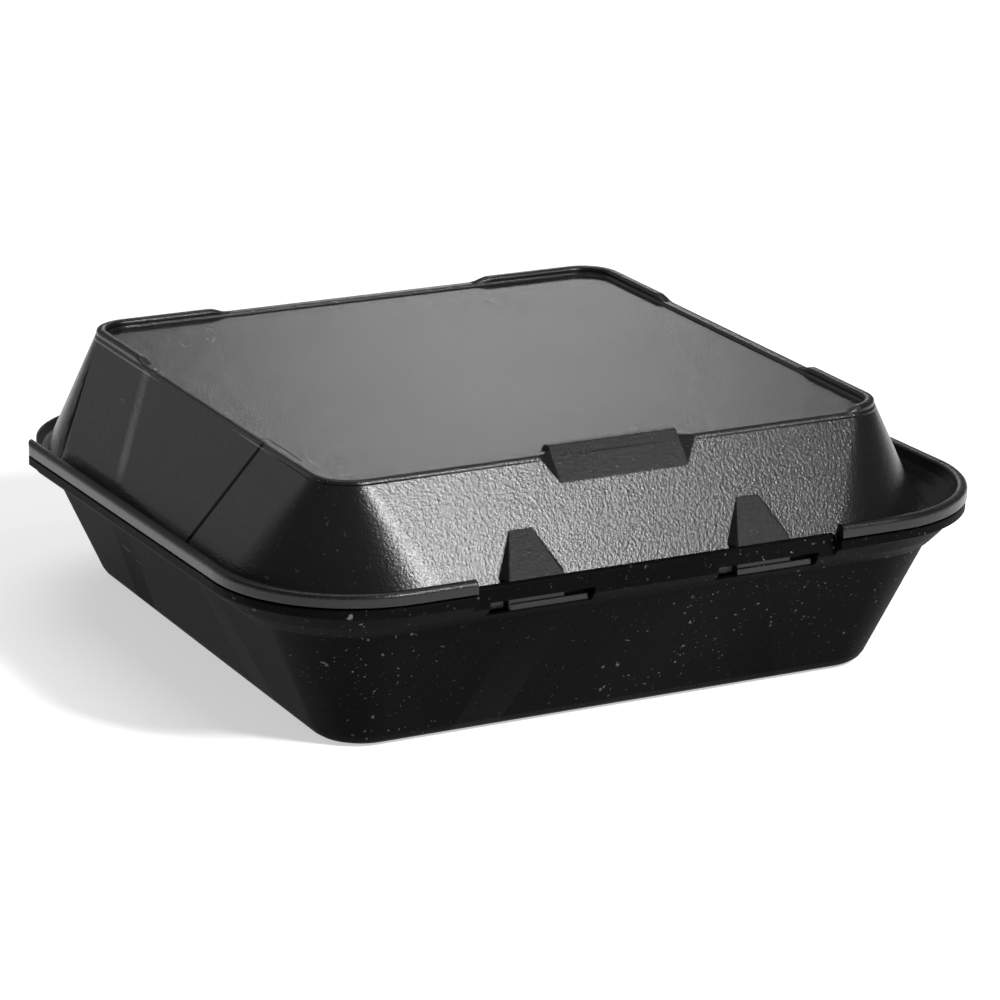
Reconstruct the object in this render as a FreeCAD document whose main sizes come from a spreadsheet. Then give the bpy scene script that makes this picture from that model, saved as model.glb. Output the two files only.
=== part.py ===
"""Foam clamshell container: a square tray and a lid of one thin foam sheet, joined by a fold at the back.

The frame has its origin in the middle of the foot, +Z up, the front with its two locking slots at -Y
and the fold at +Y. Every shell is described by rounded squares stacked one above another: a section is
half its width in X, half its width in Y, the radius of its corners and its height. The corner radius
grows towards the parting line, which gives the tray and the lid the conical corners of formed foam.
"""
import FreeCAD, Part
import math
import os
import Sketcher

QUARTER = math.pi / 2

doc = FreeCAD.newDocument("foam_clamshell_container")
sizes = doc.addObject("Spreadsheet::Sheet", "Sizes")

# Driving dimensions, millimetres, with the slopes as a ratio of run to rise
DRIVING = [
    ("foam", 2.6, "thickness of the foam sheet"),
    ("gap", 0.3, "clearance between lid and tray"),
    ("flange_half", 117.5, "half the outside width over the lid's lip"),
    ("flange_corner", 42.0, "corner radius of the lip"),
    ("foot_half_x", 87.3, "half the width of the foot"),
    ("foot_half_y", 90.3, "half the depth of the foot"),
    ("foot_corner", 14.0, "corner radius of the foot"),
    ("foot_round", 5.0, "rounding between foot and walls"),
    ("tray_slope", 0.43, "how far the tray's walls lean out"),
    ("step_height", 38.0, "height of the step under the collar"),
    ("step_corner", 26.0, "corner radius of the tray at the step"),
    ("ledge_half", 108.6, "half the width over the ledge inside the tray"),
    ("ledge_height", 40.9, "height of that ledge"),
    ("part_height", 49.3, "top of the tray's cut edge"),
    ("edge_depth", 2.5, "height of the tray's cut edge"),
    ("collar_face", 113.6, "distance of the front collar's face from the middle"),
    ("collar_height", 50.0, "top of the front collar"),
    ("collar_half", 57.0, "half the length of the collar that the lip leaves free"),
    ("lip_bottom", 50.0, "underside of the lid's lip"),
    ("lip_height", 53.7, "top of the lid's lip"),
    ("lip_width", 3.4, "width of the lip"),
    ("lip_round", 1.2, "rounding of the lip's top edges"),
    ("lip_end", 62.5, "how far back the wide flange and the lip run along each side"),
    ("fold_half", 110.0, "distance of the edges at the fold from the middle"),
    ("rim_half", 89.0, "half the width over the lid's top rim"),
    ("rim_corner", 12.0, "corner radius of the top rim"),
    ("rim_height", 77.2, "top of the lid's rim"),
    ("rim_width", 3.0, "width of the rim round the top panel"),
    ("rim_rise", 0.9, "height of the rim over the panel"),
    ("lid_slope", 0.63, "how far the lid's walls lean out"),
    ("cone_growth", 1.15, "growth of the lid's corner radius for each millimetre down"),
    ("slot_inner", 19.5, "distance of a slot's inner end from the middle"),
    ("slot_outer", 51.8, "distance of a slot's outer end from the middle"),
    ("slot_bottom", 41.2, "lower edge of a slot"),
    ("slot_top", 45.6, "upper edge of a slot"),
    ("tab_reach", 110.6, "distance of a tab's tip from the middle"),
    ("tab_thick", 1.9, "thickness of a tab"),
    ("tab_width", 24.0, "width of a tab"),
    ("tab_shift", 3.5, "how far both tabs lie towards +X in their slots"),
    ("gusset_place", 35.9, "distance of a gusset from the middle"),
    ("gusset_top", 60.4, "height of a gusset's top"),
    ("gusset_head", 7.0, "width of a gusset at its top"),
    ("gusset_foot", 21.0, "width of a gusset at its bottom"),
    ("gusset_reach", 110.2, "distance of a gusset's foot from the middle"),
    ("gusset_knee", 49.6, "height where a gusset's face turns down"),
    ("notch_half", 20.2, "half the width of the thumb face"),
    ("notch_flare", 5.8, "how much wider the thumb notch is at the rim"),
    ("notch_bottom", 69.9, "lower edge of the thumb face"),
    ("notch_top", 78.6, "crest of the thumb face"),
    ("notch_run", 8.1, "how far the thumb face leans back over its height"),
    ("lug_start", 42.0, "distance from the middle where a stacking lug starts"),
    ("lug_end_side", 66.0, "where a lug on a side edge ends"),
    ("lug_end_back", 79.0, "where a lug on the back edge ends"),
    ("lug_height", 78.8, "top of the stacking lugs"),
]
for row, (alias, size, meaning) in enumerate(DRIVING, start=1):
    sizes.set("A%d" % row, alias)
    sizes.set("B%d" % row, str(size))
    sizes.set("C%d" % row, meaning)
    sizes.setAlias("B%d" % row, alias)
doc.recompute()


def sized(expression):
    """Put the sheet's name before every alias in an expression."""
    words = []
    for word in expression.replace("(", " ( ").replace(")", " ) ").split():
        known = any(word == alias for alias, size, meaning in DRIVING)
        words.append("Sizes." + word if known else word)
    return " ".join(words)


def measure(expression):
    """Work an expression out as a plain number of millimetres."""
    answer = sizes.evalExpression(sized(expression))
    return float(getattr(answer, "Value", answer))


def new_body(label):
    """Start one moulded piece."""
    body = doc.addObject("PartDesign::Body", label)
    body.Label = label
    return body


def new_sketch(body, name, role="XY_Plane", offset=None):
    """Attach a sketch to one of the body's own origin planes, lifted by an expression."""
    plane = [item for item in body.Origin.OriginFeatures if item.Role == role][0]
    sketch = body.newObject("Sketcher::SketchObject", name)
    sketch.AttachmentSupport = [(plane, "")]
    sketch.MapMode = "FlatFace"
    if offset is not None:
        sketch.setExpression("AttachmentOffset.Base.z", sized(offset))
    return sketch


def rounded_square(body, name, half_x, half_y, corner, height):
    """Draw one section: a rectangle round the origin with four equal corner arcs."""
    sketch = new_sketch(body, name, offset=height)
    x, y, r = measure(half_x), measure(half_y), measure(corner)
    vector = FreeCAD.Vector
    ends = [
        (vector(r - x, -y, 0), vector(x - r, -y, 0)),
        (vector(x, r - y, 0), vector(x, y - r, 0)),
        (vector(x - r, y, 0), vector(r - x, y, 0)),
        (vector(-x, y - r, 0), vector(-x, r - y, 0)),
    ]
    centres = [vector(x - r, r - y, 0), vector(x - r, y - r, 0), vector(r - x, y - r, 0), vector(r - x, r - y, 0)]
    for side in range(4):
        sketch.addGeometry(Part.LineSegment(*ends[side]), False)
        circle = Part.Circle(centres[side], vector(0, 0, 1), r)
        sketch.addGeometry(Part.ArcOfCircle(circle, (side - 1) * QUARTER, side * QUARTER), False)
    rules = []
    for edge in range(8):
        rules.append(Sketcher.Constraint("Tangent", edge, 2, (edge + 1) % 8, 1))
    for side, way in enumerate(["Horizontal", "Vertical", "Horizontal", "Vertical"]):
        rules.append(Sketcher.Constraint(way, 2 * side))
    for arc in (1, 3, 5):
        rules.append(Sketcher.Constraint("Equal", arc, arc + 2))
    sketch.addConstraint(rules)
    bind(sketch, Sketcher.Constraint("Radius", 1, r), corner)
    bind(sketch, Sketcher.Constraint("DistanceX", -1, 1, 2, 1, x), half_x)
    bind(sketch, Sketcher.Constraint("DistanceX", 6, 1, -1, 1, x), half_x)
    bind(sketch, Sketcher.Constraint("DistanceY", -1, 1, 4, 1, y), half_y)
    bind(sketch, Sketcher.Constraint("DistanceY", 0, 1, -1, 1, y), half_y)
    return sketch


def bind(sketch, constraint, expression):
    """Add a dimension and tie it to the sheet."""
    index = sketch.addConstraint(constraint)
    sketch.setExpression("Constraints[%d]" % index, sized(expression))


def polygon(sketch, corners, bends=()):
    """Draw a closed outline whose corners are pairs of expressions measured from the origin.

    A bend turns the side after a corner into a clockwise quarter circle: its key is the corner's number
    and its value the radius with the two expressions of its centre.
    """
    first = sketch.GeometryCount
    bends = dict(bends)
    points = [FreeCAD.Vector(measure(across), measure(along), 0) for across, along in corners]
    count = len(points)
    for index in range(count):
        if index in bends:
            radius, across, along = bends[index]
            centre = FreeCAD.Vector(measure(across), measure(along), 0)
            spoke = points[(index + 1) % count] - centre
            start = math.atan2(spoke.y, spoke.x)
            circle = Part.Circle(centre, FreeCAD.Vector(0, 0, 1), measure(radius))
            sketch.addGeometry(Part.ArcOfCircle(circle, start, start + QUARTER), False)
        else:
            sketch.addGeometry(Part.LineSegment(points[index], points[(index + 1) % count]), False)
    head = [2 if index in bends else 1 for index in range(count)]
    for index in range(count):
        after = (index + 1) % count
        sketch.addConstraint(Sketcher.Constraint("Coincident", first + index, 3 - head[index], first + after,
                                                 head[after]))
    for index, (across, along) in enumerate(corners):
        place(sketch, first + index, head[index], "DistanceX", points[index].x, across)
        place(sketch, first + index, head[index], "DistanceY", points[index].y, along)
    for index, (radius, across, along) in bends.items():
        bind(sketch, Sketcher.Constraint("Radius", first + index, measure(radius)), radius)
    return sketch


def place(sketch, line, end, way, amount, expression):
    """Hold one end of a line or arc at a signed distance from the origin."""
    if abs(amount) < 1e-9:
        axis = -2 if way == "DistanceX" else -1
        sketch.addConstraint(Sketcher.Constraint("PointOnObject", line, end, axis))
    elif amount > 0:
        bind(sketch, Sketcher.Constraint(way, -1, 1, line, end, amount), expression)
    else:
        bind(sketch, Sketcher.Constraint(way, line, end, -1, 1, -amount), "-1 * ( %s )" % expression)


def loft(body, name, sections, adds=True):
    """Join sections by straight walls, as material or as a cut."""
    kind = "PartDesign::AdditiveLoft" if adds else "PartDesign::SubtractiveLoft"
    feature = body.newObject(kind, name)
    feature.Profile = sections[0]
    feature.Sections = sections[1:]
    feature.Ruled = True
    feature.Closed = False
    doc.recompute()
    return feature


def stack(body, name, rows, adds=True):
    """Loft a pile of rounded squares, each row being half X, half Y, corner and height."""
    sections = []
    for number, (half_x, half_y, corner, height) in enumerate(rows):
        sections.append(rounded_square(body, "%s_section_%d" % (name, number), half_x, half_y, corner, height))
    return loft(body, name, sections, adds)


def rounding(half_x, half_y, corner, height, radius, angles):
    """Rows of sections along a round edge, its middle given as half widths, corner and height.

    The angle of a row turns from 0, straight down, through 90, outwards, to 180, straight up.
    """
    rows = []
    for angle in angles:
        out = " + %s * %.4f" % (radius, math.sin(math.radians(angle)))
        up = " - %s * %.4f" % (radius, math.cos(math.radians(angle)))
        rows.append((half_x + out, half_y + out, corner + out, height + up))
    return rows


def pad(body, name, sketch, length, both_ways=False, backwards=False):
    """Thicken a sketch into material."""
    feature = body.newObject("PartDesign::Pad", name)
    feature.Profile = sketch
    feature.setExpression("Length", sized(length))
    feature.Midplane = both_ways
    feature.Reversed = backwards
    doc.recompute()
    return feature


def pocket(body, name, sketch, length, backwards=False):
    """Cut a sketch out of the body and make sure that something went."""
    before = body.Shape.Volume
    feature = body.newObject("PartDesign::Pocket", name)
    feature.Profile = sketch
    feature.setExpression("Length", sized(length))
    feature.Reversed = backwards
    doc.recompute()
    if body.Shape.Volume > before - 1.0:
        raise RuntimeError(name + " cut nothing")
    return feature


def rectangle(sketch, left, right, front, back):
    """Draw a rectangle between four expressions."""
    return polygon(sketch, [(left, front), (right, front), (right, back), (left, back)])


def fold_trim(body):
    """Take the wide flange away behind the ends of the lip, down to a narrow edge along the fold."""
    tip = "( flange_half - fold_half )"
    turn = "( fold_half - lip_end - %s )" % tip
    far = "flange_half + 5"
    corners = [
        ("-1 * ( %s )" % far, "lip_end"),
        ("-1 * flange_half", "lip_end"),
        ("-1 * fold_half", "lip_end + " + tip),
        ("-1 * fold_half + " + turn, "fold_half"),
        ("fold_half - " + turn, "fold_half"),
        ("fold_half", "lip_end + " + tip),
        ("flange_half", "lip_end"),
        (far, "lip_end"),
        (far, far),
        ("-1 * ( %s )" % far, far),
    ]
    bends = {
        1: (tip, "-1 * fold_half", "lip_end"),
        2: (turn, "-1 * fold_half + " + turn, "lip_end + " + tip),
        4: (turn, "fold_half - " + turn, "lip_end + " + tip),
        5: (tip, "fold_half", "lip_end"),
    }
    sketch = polygon(new_sketch(body, "fold_trim_outline", offset="step_height - foam"), corners, bends)
    pocket(body, "fold_trim", sketch, "20 * foam", backwards=True)


def build_tray():
    """The tray: drafted walls, a ledge and flange round the top, and the slotted collar in front."""
    body = new_body("tray")
    step_x = "foot_half_x + tray_slope * step_height"
    step_y = "foot_half_y + tray_slope * step_height"
    lean = math.atan(measure("tray_slope"))
    inset = " - foot_round * %.4f" % (math.cos(lean) - math.tan(lean) * (1 - math.sin(lean)))
    foot = rounding("foot_half_x" + inset, "foot_half_y" + inset, "foot_corner" + inset, "foot_round",
                    "foot_round", (0, 22, 44, 90 - math.degrees(lean)))
    stack(body, "tray_outside", foot + [
        (step_x, step_y, "step_corner", "step_height"),
        ("ledge_half - 0.6", "ledge_half - 0.6", "flange_corner - 10", "step_height + 0.7"),
        ("ledge_half + 3.4", "ledge_half + 3.4", "flange_corner - 4", "ledge_height + 1.1"),
        ("collar_face + 1.2", "collar_face + 1.2", "flange_corner - 1", "part_height - edge_depth - 1.3"),
        ("flange_half - gap", "flange_half - gap", "flange_corner", "part_height - edge_depth"),
        ("flange_half - gap", "flange_half - gap", "flange_corner", "part_height"),
    ])
    inner_x = "foot_half_x + tray_slope * foam - 1.09 * foam"
    inner_y = "foot_half_y + tray_slope * foam - 1.09 * foam"
    stack(body, "tray_inside", [
        (inner_x, inner_y, "foot_corner - 2", "foam"),
        (step_x + " + tray_slope * 2.9 - 1.09 * foam", step_y + " + tray_slope * 2.9 - 1.09 * foam",
         "step_corner - 2", "ledge_height"),
        ("ledge_half", "ledge_half", "flange_corner - 6", "ledge_height + 0.05"),
        ("ledge_half + 3.4", "ledge_half + 3.4", "flange_corner - 3", "ledge_height + 3.7"),
        ("ledge_half + 5.0", "ledge_half + 5.0", "flange_corner - 2", "ledge_height + 6.3"),
        ("ledge_half + 5.6", "ledge_half + 5.6", "flange_corner - 2", "part_height"),
    ], adds=False)
    fold_trim(body)
    trim = rectangle(new_sketch(body, "collar_trim_outline", offset="ledge_height + 3.1"),
                     "-1 * collar_half", "collar_half", "-1 * flange_half - 2", "-1 * collar_face")
    pocket(body, "collar_trim", trim, "20 * foam", backwards=True)
    strip = rectangle(new_sketch(body, "collar_outline", offset="ledge_height + 3.1"),
                      "-1 * collar_half", "collar_half", "-1 * collar_face", "-1 * collar_face + foam")
    pad(body, "collar", strip, "collar_height - ledge_height - 3.1")
    slots = new_sketch(body, "slot_outlines", role="XZ_Plane")
    rectangle(slots, "slot_inner", "slot_outer", "slot_bottom", "slot_top")
    rectangle(slots, "-1 * slot_outer", "-1 * slot_inner", "slot_bottom", "slot_top")
    slots.setExpression("AttachmentOffset.Base.z", sized("ledge_half - 1.5"))
    pocket(body, "slots", slots, "10 * foam", backwards=True)
    return body


def lid_half(height):
    """Half the lid's outside width at a height, on its sloping walls."""
    return "rim_half + lid_slope * ( rim_height - ( %s ) )" % height


def lid_corner(height):
    """The corner radius of the lid's conical corners at a height."""
    return "rim_corner + cone_growth * ( rim_height - ( %s ) )" % height


def build_lid():
    """The lid: sloping walls under a rimmed top, with a gutter and a raised lip round the bottom."""
    body = new_body("lid")
    lip_edge = rounding("flange_half - lip_round", "flange_half - lip_round", "flange_corner - lip_round",
                        "lip_height - lip_round", "lip_round", (90, 120, 150, 180))
    stack(body, "lip_ring", [
        ("ledge_half - 0.7", "ledge_half - 0.7", "flange_corner + 2", "ledge_height + gap"),
        ("ledge_half + 2.6", "ledge_half + 2.6", "flange_corner - 1", "ledge_height + gap + 3.7"),
        ("ledge_half + 4.4", "ledge_half + 4.4", "flange_corner - 1.5", "ledge_height + gap + 6.3"),
        ("ledge_half + 5.0", "ledge_half + 5.0", "flange_corner - 1.5", "lip_bottom"),
        ("flange_half", "flange_half", "flange_corner", "lip_bottom + 0.1"),
    ] + lip_edge)
    lip_back = "flange_half - lip_width + lip_round"
    back_edge = rounding(lip_back, lip_back, "flange_corner - lip_width + lip_round", "lip_height - lip_round",
                         "lip_round", (270, 240, 210, 180))
    stack(body, "gutter", [
        ("ledge_half + 0.2", "ledge_half + 0.2", "flange_corner", "ledge_height + gap + foam"),
        ("ledge_half + 2.7", "ledge_half + 2.7", "flange_corner - 2", "ledge_height + gap + foam + 3.6"),
        ("flange_half - lip_width - 0.9", "flange_half - lip_width - 0.9", "flange_corner - 3", "lip_bottom + 0.5"),
    ] + back_edge, adds=False)
    fold_trim(body)
    low = "ledge_height + 4.3"
    lean = math.atan(measure("lid_slope"))
    inset = " - lip_round * %.4f" % ((1 - math.sin(lean)) / math.cos(lean))
    rim = rounding("rim_half" + inset, "rim_half" + inset, "rim_corner" + inset, "rim_height - lip_round",
                   "lip_round", (90 + math.degrees(lean), 150, 180))
    stack(body, "lid_walls", [
        ("ledge_half - 0.3", "ledge_half - 0.3", "flange_corner + 5", "ledge_height + 2"),
        (lid_half(low), lid_half(low), lid_corner(low), low),
    ] + rim)
    panel = "rim_height - rim_rise"
    stack(body, "top_panel", [
        ("rim_half - rim_width - 0.6", "rim_half - rim_width - 0.6", "rim_corner - rim_width", panel),
        ("rim_half - rim_width", "rim_half - rim_width", "rim_corner - rim_width", "rim_height"),
    ], adds=False)
    turn = "ledge_height + 6.5"
    ceiling = "rim_height - rim_rise - foam"
    stack(body, "lid_inside", [
        (lid_half(turn) + " - 1.13 * foam", lid_half(turn) + " - 1.13 * foam", lid_corner(turn) + " - foam",
         "ledge_height"),
        (lid_half(turn) + " - 1.13 * foam", lid_half(turn) + " - 1.13 * foam", lid_corner(turn) + " - foam", turn),
        (lid_half(ceiling) + " - 1.13 * foam", lid_half(ceiling) + " - 1.13 * foam",
         lid_corner(ceiling) + " - foam", ceiling),
    ], adds=False)
    front = rectangle(new_sketch(body, "front_trim_outline", offset="ledge_height"),
                      "-1 * collar_half - gap", "collar_half + gap", "-1 * flange_half - 2", "-1 * ledge_half + 0.4")
    pocket(body, "front_trim", front, "20 * foam", backwards=True)
    tabs = new_sketch(body, "tab_outlines", offset="ledge_height + gap")
    for side in (-1, 1):
        middle = "%d * ( slot_inner + slot_outer ) / 2 + tab_shift" % side
        rectangle(tabs, middle + " - tab_width / 2", middle + " + tab_width / 2", "-1 * tab_reach",
                  "-1 * ledge_half + 1.5")
    pad(body, "tabs", tabs, "tab_thick")
    for side, name in ((-1, "left"), (1, "right")):
        build_gusset(body, name, "%d * gusset_place" % side)
    build_thumb_notch(body)
    lugs = new_sketch(body, "lug_outlines", offset=panel)
    for side in (-1, 1):
        inner, outer = "rim_half - rim_width", "rim_half - 0.6"
        for start, end in (("lug_start", "lug_end_side"), ("-1 * lug_end_side", "-1 * lug_start")):
            if side > 0:
                rectangle(lugs, inner, outer, start, end)
            else:
                rectangle(lugs, "-1 * ( %s )" % outer, "-1 * ( %s )" % inner, start, end)
        if side > 0:
            rectangle(lugs, "lug_start", "lug_end_back", inner, outer)
        else:
            rectangle(lugs, "-1 * lug_end_back", "-1 * lug_start", inner, outer)
    pad(body, "stacking_lugs", lugs, "lug_height - rim_height + rim_rise")
    return body


def build_gusset(body, name, middle):
    """A wedge on the front wall, narrow at its top and as wide as the slot tab at its foot."""
    sections = []
    rows = [
        ("ledge_height + gap", "gusset_foot / 2", "gusset_foot / 2 - 2", "gusset_reach", "ledge_half - 2.5"),
        ("gusset_knee", "gusset_foot / 2", "gusset_foot / 2 - 2", "gusset_reach",
         lid_half("gusset_knee") + " - 1.5"),
        ("gusset_top", "gusset_head / 2 + 0.5", "gusset_head / 2", lid_half("gusset_top") + " + 0.2",
         lid_half("gusset_top") + " - 1.5"),
    ]
    for number, (height, root, face, reach, back) in enumerate(rows):
        sketch = new_sketch(body, "%s_gusset_section_%d" % (name, number), offset=height)
        sections.append(polygon(sketch, [
            (middle + " - ( %s )" % face, "-1 * ( %s )" % reach),
            (middle + " + ( %s )" % face, "-1 * ( %s )" % reach),
            (middle + " + ( %s )" % root, "-1 * ( %s )" % back),
            (middle + " - ( %s )" % root, "-1 * ( %s )" % back),
        ]))
    return loft(body, name + "_gusset", sections)


def build_thumb_notch(body):
    """The thumb face: a flat cut through the front rim with a low crest behind it."""
    low_face = lid_half("notch_bottom")
    high_face = low_face + " - notch_run"
    crest = polygon(new_sketch(body, "crest_outline", role="YZ_Plane"), [
        ("-1 * ( %s ) + notch_run * 0.35" % low_face,
         "notch_bottom + ( notch_top - notch_bottom ) * 0.35"),
        ("-1 * ( %s )" % high_face, "notch_top"),
        ("-1 * ( %s ) + 2.4" % high_face, "notch_top - 0.2"),
        ("-1 * ( %s ) + 4.2" % high_face, "rim_height - rim_rise - 0.3"),
        ("-1 * ( %s ) + 3.0" % high_face, "rim_height - rim_rise - foam"),
    ])
    pad(body, "crest", crest, "2 * notch_half", both_ways=True)
    sections = []
    for number, (height, face) in enumerate((("notch_bottom", low_face), ("notch_top", high_face))):
        sketch = new_sketch(body, "notch_section_%d" % number, offset=height)
        sections.append(polygon(sketch, [
            ("-1 * notch_half", "-1 * ( %s )" % face),
            ("-1 * notch_half - 2 * notch_flare", "-1 * ( %s ) - 5.2" % face),
            ("notch_half + 2 * notch_flare", "-1 * ( %s ) - 5.2" % face),
            ("notch_half", "-1 * ( %s )" % face),
        ]))
    return loft(body, "thumb_notch", sections, adds=False)


tray = build_tray()
lid = build_lid()
doc.recompute()

for item in doc.Objects:
    if "Invalid" in item.State or "Error" in item.State:
        raise RuntimeError(item.Name + " failed")
os.makedirs("parts", exist_ok=True)
for body in (tray, lid):
    shape = body.Shape
    if shape.isNull() or not shape.isValid() or len(shape.Solids) != 1:
        raise RuntimeError(body.Label + " is not one sound solid")
    shape.exportStep("parts/%s.step" % body.Label)
    box = shape.BoundBox
    print(body.Label, "volume", round(shape.Volume), "mm3, faces", len(shape.Faces), "box",
          [round(side, 1) for side in (box.XMin, box.YMin, box.ZMin, box.XMax, box.YMax, box.ZMax)])
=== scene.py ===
# %% [markdown]
# # A black foam food container
#
# The object is a square take-away container, formed from one sheet of black foamed plastic. A tray and a
# domed lid are joined by a fold at the back, and two tabs of the lid sit in slots in the front of the tray.
# The measured model from the CAD program is loaded first, because every surface that follows is laid over it.

# %% Load the measured model
import math

import bmesh
import bpy
import numpy as np
from mathutils import Matrix, Vector


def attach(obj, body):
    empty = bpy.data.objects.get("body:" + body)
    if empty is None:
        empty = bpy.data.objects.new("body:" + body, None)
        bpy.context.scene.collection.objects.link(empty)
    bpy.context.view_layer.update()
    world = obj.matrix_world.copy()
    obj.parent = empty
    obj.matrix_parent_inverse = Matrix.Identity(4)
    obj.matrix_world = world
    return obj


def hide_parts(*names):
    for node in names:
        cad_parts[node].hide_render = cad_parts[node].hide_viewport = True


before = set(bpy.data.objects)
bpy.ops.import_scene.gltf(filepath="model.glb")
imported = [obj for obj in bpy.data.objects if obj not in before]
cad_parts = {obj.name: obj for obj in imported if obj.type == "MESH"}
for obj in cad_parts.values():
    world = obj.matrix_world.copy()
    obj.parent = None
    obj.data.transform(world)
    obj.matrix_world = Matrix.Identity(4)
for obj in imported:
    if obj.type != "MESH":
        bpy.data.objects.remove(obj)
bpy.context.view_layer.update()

# %% [markdown]
# ## Shader maths as plain expressions
#
# A foam skin is described by many small sums: noise, height above the table, distance from an edge. Placing
# a node for each sum by hand is long, so one small class wraps a node's output socket and lets Python's own
# signs build the Math nodes. Any other kind of node comes from one method.

# %% A socket that can be added and multiplied
class Wire:
    """An output socket; plus, minus and times on it add Math nodes to the same material."""

    def __init__(self, tree, socket):
        self.tree = tree
        self.socket = socket

    def node(self, kind, settings=None, out=0, **values):
        """Add a node of a kind, set its settings first, then its sockets by name or by number."""
        made = self.tree.nodes.new(kind)
        for name, value in (settings or {}).items():
            setattr(made, name, value)
        for name, value in values.items():
            key = int(name[1:]) if name[0] == "_" else name.replace("_", " ")
            plug(self.tree, made.inputs[key], value)
        return Wire(self.tree, made.outputs[out])

    def output(self, name):
        """Another output of the node that this wire comes from."""
        return Wire(self.tree, self.socket.node.outputs[name])

    def maths(self, operation, *terms):
        """A Math node on this wire and up to two more numbers or wires."""
        sockets = {"_%d" % place: term for place, term in enumerate((self, *terms))}
        return self.node("ShaderNodeMath", {"operation": operation}, **sockets)

    def __add__(self, other):
        return self.maths("ADD", other)

    def __radd__(self, other):
        return self + other

    def __sub__(self, other):
        return self.maths("SUBTRACT", other)

    def __rsub__(self, other):
        return self * -1.0 + other

    def __mul__(self, other):
        return self.maths("MULTIPLY", other)

    def __rmul__(self, other):
        return self * other

    def ramp(self, low, high):
        """0 below low and 1 above high, with a soft change between."""
        return self.node("ShaderNodeMapRange", {"interpolation_type": "SMOOTHSTEP"}, Value=self,
                         From_Min=low, From_Max=high)

    def colours(self, first, second):
        """Blend two colours, this wire being the share of the second."""
        return self.node("ShaderNodeMix", {"data_type": "RGBA"}, out=2, _0=self, _6=first, _7=second)


def plug(tree, socket, value):
    """Link a wire into a socket, or set a plain number or colour on it."""
    if isinstance(value, Wire):
        tree.links.new(value.socket, socket)
    else:
        socket.default_value = value


def new_material(name):
    """An empty material with its shader, its output and a wire for Object coordinates."""
    material = bpy.data.materials.new(name)
    material.use_nodes = True
    tree = material.node_tree
    tree.nodes.clear()
    output = tree.nodes.new("ShaderNodeOutputMaterial")
    shader = tree.nodes.new("ShaderNodeBsdfPrincipled")
    tree.links.new(shader.outputs[0], output.inputs["Surface"])
    place = tree.nodes.new("ShaderNodeTexCoord")
    return material, shader, Wire(tree, place.outputs["Object"])


# %% [markdown]
# ## The foam skin
#
# Foamed plastic sheet has a thin closed skin, pressed smooth by the mould. Close up it is speckled by the
# flattened cells under it: each cell is a tiny flat facet that leans its own way, so in a bright reflection
# some flash and some stay dark. A bump made from fine noise and cells gives that sparkle under any light.
# Painting the speckles into the colour would be simpler, but they would then show in the shade too.
# Broad soft patches come from the sheet stretching over the mould. A node that rounds the shading normal
# near edges stands for the softness of every formed edge, without adding a single face. The tray's colour is
# painted darker than the lid's, which is painted shade, and a second shader with no mirror part is mixed in.

# %% The foam material
# Scales are in waves to the metre, so 1000 is one to the millimetre.
GRAIN_SCALE, CELL_SCALE, CLOUD_SCALE = 1900.0, 1100.0, 18.0
DUST_SCALE, HAIR_SCALE = 850.0, 550.0
HAIR_TURN, HAIR_STRETCH = (0.4, 0.9, 0.6), (1.0, 0.12, 1.0)
PATCH_EDGE, DUST_EDGE, HAIR_EDGE = (0.42, 0.62), (0.69, 0.73), (0.72, 0.76)
GRAIN_SWING, CLOUD_SWING, MARK_SWING = 0.08, 0.05, 0.3
GRAIN_PART, GRAIN_HEIGHT = 0.65, 0.00022
SPECK_LEAST = 0.25
DARK_SHARE, LIGHT_SHARES = 0.8, (1.3, 1.25, 1.25)
EDGE_SOFTNESS = 0.0007
DULL_ROUGHNESS = 0.9
SCUFF_GREY = (0.20, 0.20, 0.20, 1.0)


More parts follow.
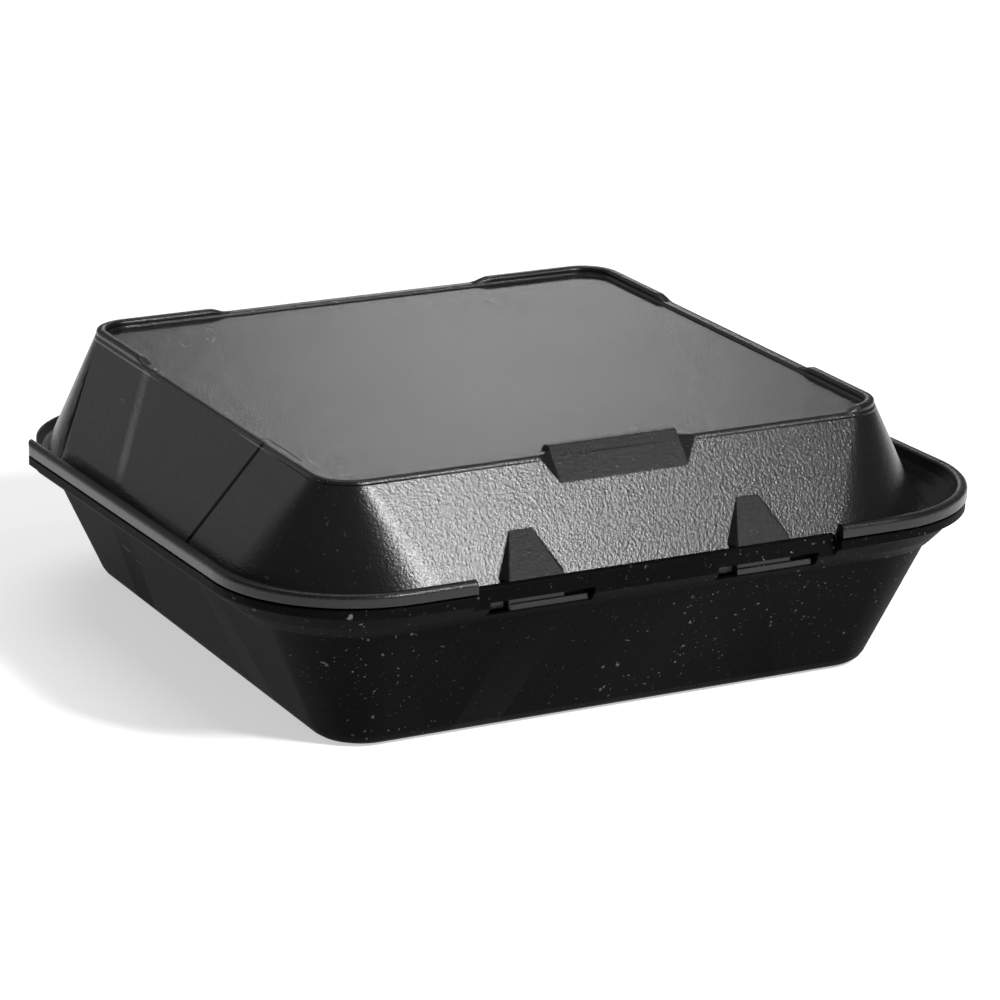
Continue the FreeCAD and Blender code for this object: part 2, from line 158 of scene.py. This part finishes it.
def foam_material(name, shade=0.006, specular=0.40, gloss=0.24, wear=0.15, sparkle=0.5, matt=0.0,
                  hollow=None):
    """Black foam: a dark base with cell grain, cloudy patches, pale specks and fine scuffs.

    The wear is the share of the specks and scuffs, and matt is the share of skin that has lost its gloss.
    The hollow gives two things: a wire of how deep the skin lies at a point, as a share of a depth and below
    zero where it stands out, and that depth in metres.
    """
    material, shader, spot = new_material(name)
    tree = spot.tree
    grain = spot.node("ShaderNodeTexNoise", Vector=spot, Scale=GRAIN_SCALE, Detail=2.0, Roughness=0.7)
    cells = spot.node("ShaderNodeTexVoronoi", {"feature": "F1"}, Vector=spot, Scale=CELL_SCALE)
    clouds = spot.node("ShaderNodeTexNoise", Vector=spot, Scale=CLOUD_SCALE, Detail=3.0)
    dust = spot.node("ShaderNodeTexNoise", Vector=spot, Scale=DUST_SCALE, Detail=2.0, Roughness=0.6)
    stretched = spot.node("ShaderNodeMapping", Vector=spot, Rotation=HAIR_TURN, Scale=HAIR_STRETCH)
    hairs = spot.node("ShaderNodeTexNoise", Vector=stretched, Scale=HAIR_SCALE, Detail=1.0)
    patches = clouds.ramp(*PATCH_EDGE)
    speck = dust.ramp(*DUST_EDGE) * (SPECK_LEAST + (1.0 - SPECK_LEAST) * patches)
    scuff = hairs.ramp(*HAIR_EDGE) * patches
    marks = wear * speck + wear * scuff
    darker = (DARK_SHARE * shade,) * 3 + (1.0,)
    lighter = tuple(share * shade for share in LIGHT_SHARES) + (1.0,)
    colour = marks.colours(patches.colours(darker, lighter), SCUFF_GREY)
    roughness = gloss + GRAIN_SWING * (grain - 0.5) + CLOUD_SWING * (clouds - 0.5) + MARK_SWING * marks
    relief = GRAIN_PART * grain + (1.0 - GRAIN_PART) * cells
    plug(tree, shader.inputs["Base Color"], colour)
    plug(tree, shader.inputs["Roughness"], roughness)
    shader.inputs["Specular IOR Level"].default_value = specular
    soft = spot.node("ShaderNodeBevel", {"samples": 4}, Radius=EDGE_SOFTNESS)
    if hollow:
        deep, depth = hollow(spot)
        soft = spot.node("ShaderNodeBump", {"invert": True}, Height=deep, Strength=1.0, Distance=depth,
                         Normal=soft)
    bump = spot.node("ShaderNodeBump", Height=relief, Strength=sparkle, Distance=GRAIN_HEIGHT, Normal=soft)
    plug(tree, shader.inputs["Normal"], bump)
    if matt:
        dull = spot.node("ShaderNodeBsdfPrincipled", Base_Color=colour, Roughness=DULL_ROUGHNESS,
                         Specular_IOR_Level=0.0, Normal=bump)
        skin = spot.node("ShaderNodeMixShader", _0=matt, _1=Wire(tree, shader.outputs[0]), _2=dull)
        plug(tree, tree.nodes["Material Output"].inputs["Surface"], skin)
    print("material:", name)
    return material


# %% [markdown]
# ## Panels in the walls
#
# The middle of each wall isn't level with the corners, which makes the moulded sheet stiff. On the lid's
# sides it stands out by a shallow step, with a slanting crease at each end. On the tray it is a hollow that
# is deepest at the foot and fades out under the rim. Real faces for them would need a much finer mesh, and
# both are flat enough to be drawn as a bump: a height worked out from the place of each point, which turns
# the shading and leaves the mesh as it was. Its price is that the creases cast no shadow of their own.

# %% How deep the panels lie
# Places and depths are in metres. A pair of numbers is where a soft change begins and where it ends.
RIM_TOP = 0.0772
WALL_FOOT = 0.047
CREASE_FRONT, CREASE_FRONT_RUN, CREASE_FRONT_WIDTH = -0.046, 0.0115, (-0.0009, 0.0012)
CREASE_BACK, CREASE_BACK_RUN, CREASE_BACK_WIDTH = 0.0388, -0.0205, (-0.0040, 0.0040)
SIDE_STARTS, SIDE_ENDS = (0.0880, 0.0884), (0.1086, 0.1090)
TOP_STARTS = (0.0757, 0.0762)
DISH_RADIUS, DISH_SHARE = 0.09, 1.4
LID_DEPTH, TRAY_DEPTH = 0.0008, 0.0026
STEP_TOP = 0.038
BAND_IN, BAND_OUT, BAND_LEAN = 0.038, 0.053, 0.40


def lid_panels(spot):
    """The side walls stand out between two creases, and the top sags a little towards its middle."""
    x, y, z = (spot.node("ShaderNodeSeparateXYZ", out=axis, Vector=spot) for axis in range(3))
    down = (RIM_TOP - z) * (1.0 / (RIM_TOP - WALL_FOOT))
    behind_front = (y - CREASE_FRONT - down * CREASE_FRONT_RUN).ramp(*CREASE_FRONT_WIDTH)
    behind_back = (y - CREASE_BACK - down * CREASE_BACK_RUN).ramp(*CREASE_BACK_WIDTH)
    out = x.maths("ABSOLUTE")
    on_side = out.ramp(*SIDE_STARTS) * (1.0 - out.ramp(*SIDE_ENDS))
    panel = behind_front * (1.0 - behind_back) * on_side
    dish = 1.0 - (x * x + y * y) * (1.0 / DISH_RADIUS ** 2)
    return DISH_SHARE * dish * z.ramp(*TOP_STARTS) - panel, LID_DEPTH


def tray_panels(spot):
    """The middle of each wall is deeper at the foot, and a slanting band joins it to the corners."""
    x, y, z = (spot.node("ShaderNodeSeparateXYZ", out=axis, Vector=spot) for axis in range(3))
    along = x.maths("ABSOLUTE").maths("MINIMUM", y.maths("ABSOLUTE"))
    edge = along + z * BAND_LEAN
    band = 1.0 - edge.node("ShaderNodeMapRange", Value=edge, From_Min=BAND_IN, From_Max=BAND_OUT)
    fade = 1.0 - z.node("ShaderNodeMapRange", Value=z, From_Min=0.0, From_Max=STEP_TOP)
    return band * fade, TRAY_DEPTH


# %% The two finishes
# The tray has half the lid's colour: painted shade on the same foam, with less mirror and a dull second
# shader.
FINISH = {"tray": foam_material("tray_foam_painted_shade", shade=0.003, specular=0.1, gloss=0.36, wear=0.8, matt=0.70,
                                hollow=tray_panels),
          "lid": foam_material("lid_foam", hollow=lid_panels)}

# %% [markdown]
# ## The lid and tray as they are seen
#
# A formed foam sheet is never as straight as a drawing: along both sides the flange and the lip hang about
# three millimetres lower at the back than at the front. The measured model has them level, so the points of a
# copy of each mesh are moved by one smooth rule, the same for both, so that the lid still seats. The rule
# depends on nothing but a point's place, so points that meet stay together. The lid's copy also loses the
# straight bars on its rim, which are drawn anew as rounded corners below.

# %% Copies with a hanging flange
SAG = 0.003
FLANGE_IN, FLANGE_OUT = 0.107, 0.1125
SAG_START, SAG_END = -0.0755, 0.066
BAR_BASE, BAR_SINK = 0.0774, 0.0001
CREST_HALF = 0.030


def smooth_step(value, low, high):
    """0 below low, 1 above high and a soft change between."""
    share = np.clip((value - low) / (high - low), 0.0, 1.0)
    return share * share * (3.0 - 2.0 * share)


def hang(points):
    """Outside the ledge the points sink along both sides, in proportion to the way towards the back."""
    x, y, z = points.T
    back = np.clip((y - SAG_START) / (SAG_END - SAG_START), 0.0, 1.0)
    outside = smooth_step(np.abs(x), FLANGE_IN, FLANGE_OUT)
    return np.stack([x, y, z - SAG * back * outside], axis=-1)


def lower_bars(points):
    """The tops of the bars come down into the rim; the crest of the thumb face keeps its height."""
    x, y, z = points.T
    crest = (np.abs(x) < CREST_HALF) & (y < 0.0)
    return np.stack([x, y, np.where((z > BAR_BASE) & ~crest, RIM_TOP - BAR_SINK, z)], axis=-1)


def seen_copy(name, *moves):
    """A copy of a measured node's mesh with its points moved, shown in the place of the node."""
    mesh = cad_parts[name].data.copy()
    mesh.name = name + "_seen"
    points = np.empty(3 * len(mesh.vertices))
    mesh.vertices.foreach_get("co", points)
    points = points.reshape(-1, 3)
    for move in moves:
        points = move(points)
    mesh.vertices.foreach_set("co", points.ravel())
    mesh.materials.clear()
    mesh.materials.append(FINISH[name])
    piece = bpy.data.objects.new(name + "_seen", mesh)
    bpy.context.scene.collection.objects.link(piece)
    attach(piece, name)
    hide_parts(name)
    print(piece.name, "has", len(mesh.vertices), "points")
    return piece


seen_copy("tray", hang)
seen_copy("lid", lower_bars, hang)

# %% [markdown]
# ## Raised corners of the rim
#
# At both back corners and the right front one the rim stands higher, so that stacked boxes don't slide. Each
# is one soft ridge that runs from one edge round the corner to the next and ends in short ramps. It is
# swept: a flat oval profile moves along two straight lines and the arc between them.

# %% Three ridges
RIDGE_HALF = 0.0875
RIDGE_BEND = 0.0105
RIDGE_WIDE = 0.0016
RIDGE_FOOT = 0.0769
RIDGE_TOP = 0.0787
RIDGE_LEAST, RIDGE_SUNK = 0.0002, 0.0003
OVAL_POWER = 0.6
RAMP = 0.006


def corner_path(side_x, side_y, along_x, along_y, steps=20):
    """Points from the edge along X, round the corner, to the edge along Y, with the outward direction.

    The sides are 1 or -1 and name the corner. The path starts at along_x and ends at along_y, both measured
    from the middle of the lid.
    """
    middle = RIDGE_HALF - RIDGE_BEND
    turn = np.linspace(0.0, 0.5 * np.pi, steps)
    arc = np.stack([middle + RIDGE_BEND * np.sin(turn), middle + RIDGE_BEND * np.cos(turn)], axis=-1)
    first = np.stack([np.linspace(along_x, middle, steps, endpoint=False), np.full(steps, RIDGE_HALF)],
                     axis=-1)
    last = np.stack([np.full(steps, RIDGE_HALF), np.linspace(middle, along_y, steps + 1)[1:]], axis=-1)
    out = np.concatenate([np.tile([0.0, 1.0], (steps, 1)), np.stack([np.sin(turn), np.cos(turn)], axis=-1),
                          np.tile([1.0, 0.0], (steps, 1))])
    signs = np.array([side_x, side_y])
    return np.concatenate([first, arc, last]) * signs, out * signs


def ridge(name, side_x, side_y, along_x, along_y, around=20):
    """A flat oval profile swept along a corner path, its top sinking to the rim over a ramp at each end."""
    path, out = corner_path(side_x, side_y, along_x, along_y)
    gone = np.concatenate([[0.0], np.cumsum(np.linalg.norm(np.diff(path, axis=0), axis=1))])
    rise = smooth_step(np.minimum(gone, gone[-1] - gone), 0.0, RAMP)[:, None]
    angle = np.linspace(0.0, 2 * np.pi, around, endpoint=False)[None, :]
    across = RIDGE_WIDE * np.sign(np.cos(angle)) * np.abs(np.cos(angle)) ** OVAL_POWER
    crown = RIDGE_LEAST + (RIDGE_TOP - RIDGE_FOOT - RIDGE_LEAST) * rise
    lift = np.maximum(np.sin(angle), 0.0) ** OVAL_POWER * crown
    sunk = np.minimum(np.sin(angle), 0.0) * RIDGE_SUNK
    height = RIDGE_FOOT + lift + sunk
    points = np.stack([path[:, :1] + out[:, :1] * across, path[:, 1:] + out[:, 1:] * across, height],
                      axis=-1)
    count = len(path)
    ring = np.arange(count * around).reshape(count, around)
    after = np.roll(ring, -1, axis=1)
    quads = np.stack([ring[:-1], after[:-1], after[1:], ring[1:]], axis=-1).reshape(-1, 4)
    faces = quads.tolist() + [ring[0][::-1].tolist(), ring[-1].tolist()]
    if side_x * side_y < 0:
        faces = [face[::-1] for face in faces]
    mesh = bpy.data.meshes.new(name)
    mesh.from_pydata(points.reshape(-1, 3).tolist(), [], faces)
    mesh.shade_smooth()
    mesh.materials.append(FINISH["lid"])
    piece = bpy.data.objects.new(name, mesh)
    bpy.context.scene.collection.objects.link(piece)
    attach(piece, "lid")
    work = bmesh.new()
    work.from_mesh(mesh)
    volume = 1e9 * work.calc_volume(signed=True)
    work.free()
    print(name, "runs", round(1000 * gone[-1], 1), "mm and holds", round(volume, 1), "mm3")
    return piece


ridge("back_left_corner", -1, 1, 0.042, 0.042)
ridge("back_right_corner", 1, 1, 0.042, 0.040)
ridge("front_right_corner", 1, -1, 0.074, 0.042)

# %% [markdown]
# ## Camera
#
# The picture looks down a little on the front left corner of the container through a long lens. The place
# of the camera was worked out from the straight edges of the container, so it is written as a point and
# three angles, in the frame of the measured model.

# %% Camera
LENS, SENSOR, FAR = 157.2, 36.0, 20.0
AZIMUTH, ELEVATION, ROLL = (math.radians(angle) for angle in (26.96, 17.56, 0.56))
CAMERA_PLACE = Vector((-0.5586, -1.1150, 0.4302))

ahead = Vector((math.sin(AZIMUTH) * math.cos(ELEVATION), math.cos(AZIMUTH) * math.cos(ELEVATION),
                -math.sin(ELEVATION)))
level = Vector((math.cos(AZIMUTH), -math.sin(AZIMUTH), 0.0))
above = level.cross(ahead)
right = math.cos(ROLL) * level + math.sin(ROLL) * above
up = math.cos(ROLL) * above - math.sin(ROLL) * level
turn = Matrix((right, up, -ahead)).transposed().to_4x4()
camera = bpy.data.objects.new("camera", bpy.data.cameras.new("camera"))
camera.data.lens = LENS
camera.data.sensor_width = SENSOR
camera.data.clip_end = FAR
camera.matrix_world = Matrix.Translation(CAMERA_PLACE) @ turn
bpy.context.scene.collection.objects.link(camera)
bpy.context.scene.camera = camera
print("camera looks along", [round(part, 3) for part in ahead])

# %% [markdown]
# ## Studio
#
# The container stands on a wide pale floor under soft lamps. A black satin skin is seen mostly by what it
# reflects, so the place of each lamp is chosen by which wall mirrors it towards the camera. A small strong
# lamp high at the front right lights the lid's front wall. A small soft one low behind gives the top its
# bright middle that fades towards the edges, and broad dim ones fill in. The sky is left dim, so that the
# front corner and the tray stay nearly black. The floor looks white in the picture and in reflections
# because it glows there, while the light that it throws on the container stays that of a pale floor.

# %% Floor, world and lamps
FLOOR_SHADE = 0.86
FLOOR_DROP = 0.0004
FLOOR_GLOW = 0.53
FLOOR_ROUGHNESS = 0.95
SKY_LEVEL = 0.16


def round_floor(radius=5.0, rings=3, spokes=48):
    """A flat disc: a point lies at radius times its ring's share, turned by its spoke's angle."""
    share, angle = np.meshgrid(np.linspace(0.0, 1.0, rings + 1)[1:],
                               np.linspace(0, 2 * np.pi, spokes, endpoint=False), indexing="ij")
    points = np.stack([radius * share * np.cos(angle), radius * share * np.sin(angle),
                       np.full_like(share, -FLOOR_DROP)], axis=-1).reshape(-1, 3)
    ring = np.arange(rings * spokes).reshape(rings, spokes)
    after = np.roll(ring, -1, axis=1)
    quads = np.stack([ring[:-1], ring[1:], after[1:], after[:-1]], axis=-1).reshape(-1, 4)
    mesh = bpy.data.meshes.new("floor")
    mesh.from_pydata(points.tolist(), [], quads.tolist() + [ring[0].tolist()])
    floor = bpy.data.objects.new("floor", mesh)
    bpy.context.scene.collection.objects.link(floor)
    material, shader, spot = new_material("pale_floor")
    shader.inputs["Base Color"].default_value = (FLOOR_SHADE, FLOOR_SHADE, FLOOR_SHADE, 1.0)
    shader.inputs["Roughness"].default_value = FLOOR_ROUGHNESS
    shader.inputs["Specular IOR Level"].default_value = 0.0
    rays = spot.node("ShaderNodeLightPath")
    seen = rays.maths("MAXIMUM", rays.output("Is Glossy Ray"))
    seen = seen.maths("MAXIMUM", rays.output("Is Transmission Ray"))
    glow = seen.colours((0.0, 0.0, 0.0, 1.0), (1.0, 1.0, 1.0, 1.0))
    plug(spot.tree, shader.inputs["Emission Color"], glow)
    shader.inputs["Emission Strength"].default_value = FLOOR_GLOW
    mesh.materials.append(material)
    return floor


def soft_lamp(name, place, target, width, height, radiance):
    """A rectangular lamp at a place, facing a target, as bright as a surface of that radiance."""
    data = bpy.data.lights.new(name, "AREA")
    data.shape = "RECTANGLE"
    data.size = width
    data.size_y = height
    data.energy = radiance * math.pi * width * height
    lamp = bpy.data.objects.new(name, data)
    lamp.location = place
    lamp.rotation_euler = (Vector(target) - Vector(place)).to_track_quat("-Z", "Y").to_euler()
    bpy.context.scene.collection.objects.link(lamp)
    print(name, "power", round(data.energy, 1), "W")
    return lamp


round_floor()
world = bpy.data.worlds.new("studio")
world.use_nodes = True
sky = world.node_tree.nodes["Background"]
sky.inputs["Color"].default_value = (1.0, 1.0, 1.0, 1.0)
sky.inputs["Strength"].default_value = SKY_LEVEL
bpy.context.scene.world = world
# Each lamp: its place, what it faces, its width and height, and its radiance.
soft_lamp("key_lamp", (0.31, -0.98, 0.83), (-0.06, -0.10, 0.06), 0.17, 0.17, 165.0)
soft_lamp("upper_lamp", (0.58, -0.55, 1.13), (0.0, -0.09, 0.07), 0.25, 0.25, 3.5)
soft_lamp("back_lamp", (1.08, 2.12, 0.86), (0.0, 0.0, 0.05), 0.42, 0.24, 5.2)
soft_lamp("left_lamp", (-1.10, 2.00, 0.80), (0.0, 0.0, 0.05), 1.4, 1.1, 0.35)
soft_lamp("top_lamp", (0.1, 0.7, 2.2), (0.0, 0.1, 0.0), 1.6, 1.6, 1.5)

# %% [markdown]
# ## Finish
#
# The colours are shown as they are worked out, and the scene is brought up to date.

# %% Finish
bpy.context.scene.view_settings.view_transform = "Standard"
bpy.context.view_layer.update()
